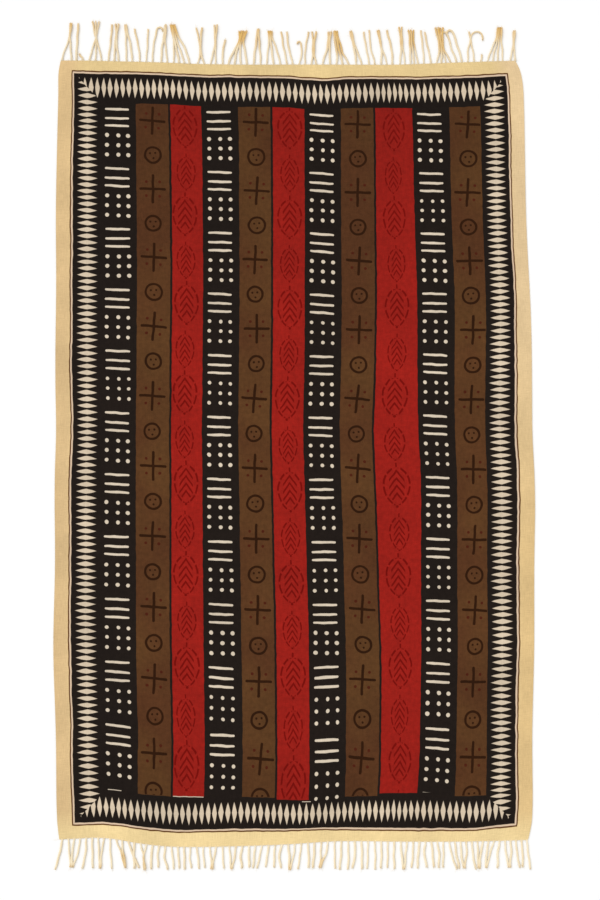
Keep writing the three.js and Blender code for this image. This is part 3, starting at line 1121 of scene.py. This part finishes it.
def leaves():
    x, y, repeat, stripe = in_stripe(RED, LEAF_ABOVE)
    small = y > (SMALL_LEAF_DOWN / 2)
    shift, slide, _ = random_for(repeat * 2 + small, stripe + LEAF_DRAW)
    y = (y - small * SMALL_LEAF_DOWN) * (1 + small * (1 / SMALL_LEAF_LENGTH - 1))
    x = (x + (slide - 0.5) * LEAF_SLIDE) * (1 + small * (1 / SMALL_LEAF_WIDTH - 1))
    along = y / LEAF_HALF_HIGH
    across = abs(x) / LEAF_HALF_WIDE * (along * LEAF_TAPER + 1)
    across_slope = across.math("POWER", LEAF_POWER - 1) * (LEAF_POWER / LEAF_HALF_WIDE)
    fullness = across.math("POWER", LEAF_POWER) + along * along - 1
    edge = fullness / length(across_slope, along * (2 / LEAF_HALF_HIGH))
    turn = along.math("ARCTAN2", across) * LEAF_DASHES + (shift - 0.5) * DASH_SHIFT
    outline = most(abs(edge) - OUTLINE_STROKE, (turn.math("COSINE") - DASH_GAP) * DASH_SHARPNESS)
    outline = most(outline, OUTLINE_TOP - y, y - OUTLINE_BOTTOM)
    roof = y - abs(x) * ROOF_SLOPE
    fold = abs((roof - ROOF_TOP) % ROOF_PITCH - ROOF_PITCH / 2) * ROOF_ACROSS - LEAF_STROKE
    inside = most(edge + ROOF_ROOM, abs(x) - ROOF_HALF_WIDE)
    roofs = most(fold, ROOF_TOP - roof, roof - ROOF_BOTTOM, inside)
    stem = length(x, most(abs(y - STEM_AT) - STEM_HALF, 0.0)) - LEAF_STROKE
    dot = length(x, y - LEAF_DOT_AT) - LEAF_DOT_RADIUS
    return least(outline, roofs, stem, dot)


leaf_print = leaves()
print("Leaves are", 2 * LEAF_HALF_HIGH, "mm and", 2 * LEAF_HALF_HIGH * SMALL_LEAF_LENGTH, "mm long")

# %% [markdown]
# The border
#
# A tan margin is left bare all round. Then comes a thin brown line, a cream line, and a black frame
# with a close row of cream lozenges, whose sides bulge a little. The four rows are drawn as one: a place
# belongs to the row whose middle line lies further out, so the rows cut each other off along the diagonal
# in the corners, as they do on the real cloth.

# %% Draw the border
FRAME_MIDDLE = (0.3, 1)
FRAME_HALF = (524.5, 887)
FRAME_WOBBLE = 5
FRAME_WOBBLES_PER_METRE = 9.0
ROW_MIDDLE = (1, 2.3)
ROW_HALF = (484, 846.8)
END_LOZENGE_PITCH = 15.05
SIDE_LOZENGE_PITCH = 15.5
LOZENGE_HALF_LONG = 23.6
LOZENGE_HALF_WIDE = 5.6
LOZENGE_BULGE = 0.3
LOZENGE_UNEVEN = 1.6
OUTER_LINE_HALF = 1.6
CREAM_LINE_WIDE = 5.4

frame_edge = most(abs(u - FRAME_MIDDLE[0]) - FRAME_HALF[0], abs(v - FRAME_MIDDLE[1]) - FRAME_HALF[1])
frame_edge = frame_edge + (noise(plan, FRAME_WOBBLES_PER_METRE) - 0.5) * FRAME_WOBBLE
outer_line = abs(frame_edge) - OUTER_LINE_HALF
black_frame = frame_edge + CREAM_LINE_WIDE
from_column = abs(u - ROW_MIDDLE[0]) - ROW_HALF[0]
from_row = abs(v - ROW_MIDDLE[1]) - ROW_HALF[1]
upright = from_column > from_row
row_run = u + (v - u) * upright
lozenge_pitch = upright * (SIDE_LOZENGE_PITCH - END_LOZENGE_PITCH) + END_LOZENGE_PITCH
row_number = (row_run / lozenge_pitch).math("FLOOR")
row_size, row_slide, _ = random_for(row_number, upright)
beside_row = abs(most(from_column, from_row) + (row_slide - 0.5) * LOZENGE_UNEVEN)
along_row = abs(row_run % lozenge_pitch - lozenge_pitch / 2)
long_share = beside_row / ((row_size - 0.5) * LOZENGE_UNEVEN + LOZENGE_HALF_LONG)
wide_share = along_row / LOZENGE_HALF_WIDE
lozenges = (long_share + wide_share - long_share * wide_share * LOZENGE_BULGE - 1) * LOZENGE_HALF_WIDE
print("Lozenges along one side:", round(2 * ROW_HALF[1] / SIDE_LOZENGE_PITCH))

# %% [markdown]
# Dyes
#
# The print is laid down in the order in which it was made: the tan ground, the cream that the black
# leaves bare, the black itself, brown and red between, then the motifs. The tan is darker along the
# selvedges, and lighter towards the lower end as painted light. Vegetable dye and mud never take evenly,
# so a blotch of a few millimetres goes into every dye, all dyes are darkened towards both ends as painted
# shade, brown shifts between olive and russet, and soft clouds and faint streaks along the warp lighten
# and darken the whole cloth.

# %% Lay down the colours
# Painted light: the tan ground is lighter at the lower end and darker at the upper end.
TAN_UPPER_SHADED = dye(222, 195, 140)
TAN_LOWER_LIT = dye(232, 206, 151)
TAN_LEFT = dye(212, 181, 133)
TAN_RIGHT_UPPER = dye(219, 191, 147)
TAN_RIGHT_LOWER = dye(214, 183, 130)
CREAM = dye(211, 196, 174)
LOZENGE_CREAM = dye(208, 190, 165)
CREAM_LINE = dye(214, 188, 160)
OUTER_LINE = dye(92, 54, 20)
MUD_BLACK = dye(30, 23, 19)
OLIVE_BROWN = dye(88, 57, 30)
RUSSET_BROWN = dye(82, 49, 27)
RED_DYE = dye(147, 28, 20)
CROSS_INK = dye(44, 21, 5)
DOT_INK = dye(72, 28, 13)
LEAF_INK = dye(112, 9, 4)
INK_MARGIN = 1
BLOTCHES_PER_METRE = 100.0
BLOTCH_STRENGTH = 0.45
BLOTCH_BASE = 0.78
# Painted shade: how much darker the dyes get towards the upper and the lower end of the cloth.
UPPER_END = (250.0, 830.0)
UPPER_PAINTED_SHADE = 0.18
LOWER_END = (-540.0, -830.0)
LOWER_PAINTED_SHADE = 0.09
OLIVE_PER_METRE = 5.0
OLIVE_RAMP = (0.35, 0.65)
RIGHT_TAN_RAMP = (-250.0, 350.0)
SIDE_RAMP = (-100.0, 100.0)
LENGTH_RAMP = (-880.0, 880.0)
SELVEDGE_RAMP = (490.0, 535.0)
BARE_END_RAMP = (-910.0, -850.0)
CLOUDS_PER_METRE = 8.0
CLOUD_STRENGTH = 0.34
STREAKS_PER_METRE = 240.0
STREAK_SHORTENING = (1.0, 0.03, 0.0)
STREAK_STRENGTH = 0.08
CLOUD_BASE = 0.79

blotch = noise(plan, BLOTCHES_PER_METRE, detail=3.0) * BLOTCH_STRENGTH + BLOTCH_BASE
# Painted shade: the light falls off towards both ends, so every dye is darkened there.
painted_end_shade = rise(v, *UPPER_END) * UPPER_PAINTED_SHADE + rise(v, *LOWER_END) * LOWER_PAINTED_SHADE
blotch_and_painted_shade = blotch * (1 - painted_end_shade)
olive = rise(noise(plan, OLIVE_PER_METRE), *OLIVE_RAMP)


def scaled(colour, share):
    """A colour made lighter or darker."""
    return Cue.node("ShaderNodeVectorMath", {"operation": "SCALE"}, {0: colour, "Scale": share})


def blotched_and_end_shaded(colour):
    """A dye that has taken unevenly, and is darkened towards both ends as painted shade."""
    return scaled(colour[:3], blotch_and_painted_shade)


brown = paint(blotched_and_end_shaded(RUSSET_BROWN), blotched_and_end_shaded(OLIVE_BROWN), olive)
right_tan = paint(TAN_RIGHT_LOWER, TAN_RIGHT_UPPER, rise(v, *RIGHT_TAN_RAMP))
edge_tan = paint(TAN_LEFT, right_tan, rise(u, *SIDE_RAMP))
# Painted light: the tan grows lighter from the upper end down to the lower end.
tan = paint(TAN_LOWER_LIT, TAN_UPPER_SHADED, rise(v, *LENGTH_RAMP))
# The tan is darker along both selvedges, up to a little above the lower end.
tan = paint(tan, edge_tan, rise(abs(u), *SELVEDGE_RAMP) * rise(v, *BARE_END_RAMP))
inner_brown = brown_band + INK_MARGIN
ground = tan
for colour, distance in (
    (CREAM_LINE, frame_edge),
    (OUTER_LINE, outer_line),
    (blotched_and_end_shaded(MUD_BLACK), black_frame),
    (brown, brown_band),
    (blotched_and_end_shaded(RED_DYE), red_band),
    (LOZENGE_CREAM, lozenges),
    (CREAM, block_print),
    (CREAM, bare_slivers),
    (CROSS_INK, most(cross_print, inner_brown)),
    (DOT_INK, most(corner_dots, inner_brown)),
    (LEAF_INK, most(leaf_print, red_band + INK_MARGIN)),
):
    ground = paint(ground, colour, ink(distance))
clouds = noise(plan, CLOUDS_PER_METRE, detail=3.0)
warp_streaks = noise(vector("MULTIPLY", plan, STREAK_SHORTENING), STREAKS_PER_METRE)
printed = scaled(ground, clouds * CLOUD_STRENGTH + warp_streaks * STREAK_STRENGTH + CLOUD_BASE)
print("Colours painted:", len(Cue.tree.nodes), "nodes so far")

# %% [markdown]
# The underside and the weave
#
# The mud soaks through only in part, so the underside shows the same print much paler on the tan ground.
# The weave is plain: each thread goes over one and under one, and the product of two waves gives just
# that chequer of bumps. The hollows between the threads take less light, and slubs make some threads
# thicker. The finish is matt with a faint sheen from loose fibres.

# %% Finish the printed cotton
SOAKED_THROUGH = 0.42
WEAVE_PITCH = 1.5
BUMP_DEPTH = 0.0004
BUMP_STRENGTH = 0.5
WEAVE_HEIGHT = 0.4
WEAVE_SHADE = 0.06
SLUB_SHADE = 0.5
SLUBS_PER_METRE = 650.0
SLUB_SHORTENING = 0.08
OVER_RAMP = (-0.3, 0.3)
ROUGHNESS_RANGE = 0.1
ROUGHNESS = 0.86


def kept_value(name):
    """A number that each point of a mesh keeps."""
    return Cue.node("ShaderNodeAttribute", {"attribute_name": name}, {}, "Fac")


def finish(shader, varying, fixed):
    """Link what changes over a surface to its shader, and set what is the same all over."""
    for name, cue in varying.items():
        Cue.tree.links.new(cue.socket, shader.inputs[name])
    for name, value in fixed.items():
        shader.inputs[name].default_value = value


plan_across, plan_along, _ = split(plan)
waves = math.pi / WEAVE_PITCH / MM
weave = (plan_across * waves).math("SINE") * (plan_along * waves).math("SINE")
weft_slubs = noise(vector("MULTIPLY", plan, (SLUB_SHORTENING, 1.0, 0.0)), SLUBS_PER_METRE)
warp_slubs = noise(vector("MULTIPLY", plan, (1.0, SLUB_SHORTENING, 0.0)), SLUBS_PER_METRE)
slubs = warp_slubs + (weft_slubs - warp_slubs) * rise(weave, *OVER_RAMP)
height = weave * WEAVE_HEIGHT + slubs
woven = scaled(printed, weave * WEAVE_SHADE + (slubs - 0.5) * SLUB_SHADE + 1)
base = paint(tan, woven, kept_value("face_up") * (1 - SOAKED_THROUGH) + SOAKED_THROUGH)
bump_sockets = {"Strength": BUMP_STRENGTH, "Distance": BUMP_DEPTH, "Height": height}
bump = Cue.node("ShaderNodeBump", {}, bump_sockets)
roughness = clouds * ROUGHNESS_RANGE + ROUGHNESS
finish(
    cotton_face,
    {"Base Color": base, "Roughness": roughness, "Normal": bump},
    {"Specular IOR Level": 0.06, "Sheen Weight": 0.02, "Sheen Roughness": 0.6},
)
cloth_mesh.materials.append(cotton)
print("Printed cotton:", len(Cue.tree.nodes), "nodes")

# %% [markdown]
# Undyed yarn
#
# The fringe is the bare warp: pale cotton, painted paler at the lower end as painted light, and deep
# gold where threads have felted into a tassel. No two threads have quite the same tone. A fine fibre
# grain breaks up the light on the plies.

# %% Finish the yarn
YARN_UPPER_SHADED = dye(236, 220, 189)
YARN_LOWER_LIT = dye(243, 229, 199)
YARN_GOLD = dye(220, 180, 106)
TONE_STRENGTH = 0.16
MOTTLES_PER_METRE = 90.0
MOTTLE_STRENGTH = 0.5
GRAIN_PER_METRE = 1800.0
GRAIN_DEPTH = 0.0002
GRAIN_STRENGTH = 0.6
YARN_ROUGHNESS_RANGE = 0.1
YARN_ROUGHNESS = 0.85

yarn, yarn_face = new_finish("fringe_yarn")
here = Cue.node("ShaderNodeTexCoord", {}, {}, "Object")
_, along_cloth, _ = split(here)
mottle = noise(here, MOTTLES_PER_METRE, dimensions="3D")
golden = kept_value("gold") + kept_value("tone") * TONE_STRENGTH + (mottle - 0.5) * MOTTLE_STRENGTH
# Painted light: the yarn is lighter at the lower fringe and darker at the upper one.
pale = paint(YARN_LOWER_LIT, YARN_UPPER_SHADED, rise(along_cloth, -0.5, 0.5))
yarn_colour = paint(pale, YARN_GOLD, rise(golden, 0.0, 1.0))
grain = noise(here, GRAIN_PER_METRE, dimensions="3D")
grain_sockets = {"Strength": GRAIN_STRENGTH, "Distance": GRAIN_DEPTH, "Height": grain}
yarn_bump = Cue.node("ShaderNodeBump", {}, grain_sockets)
yarn_roughness = grain * YARN_ROUGHNESS_RANGE + YARN_ROUGHNESS
finish(
    yarn_face,
    {"Base Color": yarn_colour, "Roughness": yarn_roughness, "Normal": yarn_bump},
    {"Specular IOR Level": 0.25, "Sheen Weight": 0.15},
)
for piece in (fringe_top, fringe_bottom):
    piece.data.materials.append(yarn)
print("Fringe yarn:", len(Cue.tree.nodes), "nodes")

# %% [markdown]
# The pieces in the frame
#
# The cloth stands for the CAD sheet and each fringe for its comb. All ride on the one body.

for piece, node, slot in (
    (cloth, "cloth", "printed_cotton"),
    (fringe_top, "fringe_top", "fringe_yarn"),
    (fringe_bottom, "fringe_bottom", "fringe_yarn"),
):
    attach(piece, "root")
    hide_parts(node)

# %% [markdown]
# Floor, light and camera
#
# The cloth lies on a plain pale floor. A bright even sky and one very soft lamp from the upper left give
# studio light with hardly any shadow. The camera looks almost straight down, leaning three degrees, with
# a normal lens.

# %% Set the stage
FLOOR_SIZE = 40.0
FLOOR_GREY = (0.93, 0.93, 0.93, 1)
SKY_WHITE = (1, 1, 1, 1)
SKY_STRENGTH = 0.76
LAMP_STRENGTH = 1.32
LAMP_WIDTH = 50
LAMP_TURN = (-24, -30, 0)

floor_mesh = bpy.data.meshes.new("floor")
corner = FLOOR_SIZE / 2
floor_mesh.from_pydata(
    [(-corner, -corner, 0), (corner, -corner, 0), (corner, corner, 0), (-corner, corner, 0)],
    [],
    [(0, 1, 2, 3)],
)
floor_paint, floor_face = new_finish("floor_paint")
finish(floor_face, {}, {"Base Color": FLOOR_GREY, "Roughness": 0.9, "Specular IOR Level": 0.1})
floor_mesh.materials.append(floor_paint)
floor = add_object("floor", floor_mesh)

sky = bpy.data.worlds.new("sky")
sky.use_nodes = True
finish(sky.node_tree.nodes["Background"], {}, {"Color": SKY_WHITE, "Strength": SKY_STRENGTH})
bpy.context.scene.world = sky
lamp_data = bpy.data.lights.new("soft_lamp", "SUN")
lamp_data.energy = LAMP_STRENGTH
lamp_data.angle = math.radians(LAMP_WIDTH)
lamp = add_object("soft_lamp", lamp_data)
lamp.rotation_euler = [math.radians(angle) for angle in LAMP_TURN]
bpy.context.scene.view_settings.view_transform = "Standard"
print("Floor of", FLOOR_SIZE, "m, sky at", SKY_STRENGTH, "and lamp at", LAMP_STRENGTH)

# %% Set the camera
CAMERA_TILT = 3
CAMERA_PLACE = (0.0152, -0.1759, 2.933)
CAMERA_LENS = 50
CAMERA_SENSOR = 36
CAMERA_REACH = 50

camera_data = bpy.data.cameras.new("camera")
camera_data.lens = CAMERA_LENS
camera_data.sensor_width = CAMERA_SENSOR
camera_data.clip_end = CAMERA_REACH
camera = add_object("camera", camera_data)
camera.location = CAMERA_PLACE
camera.rotation_euler = (math.radians(CAMERA_TILT), 0, 0)
bpy.context.scene.camera = camera
print("Camera at", tuple(camera.location))

# %% [markdown]
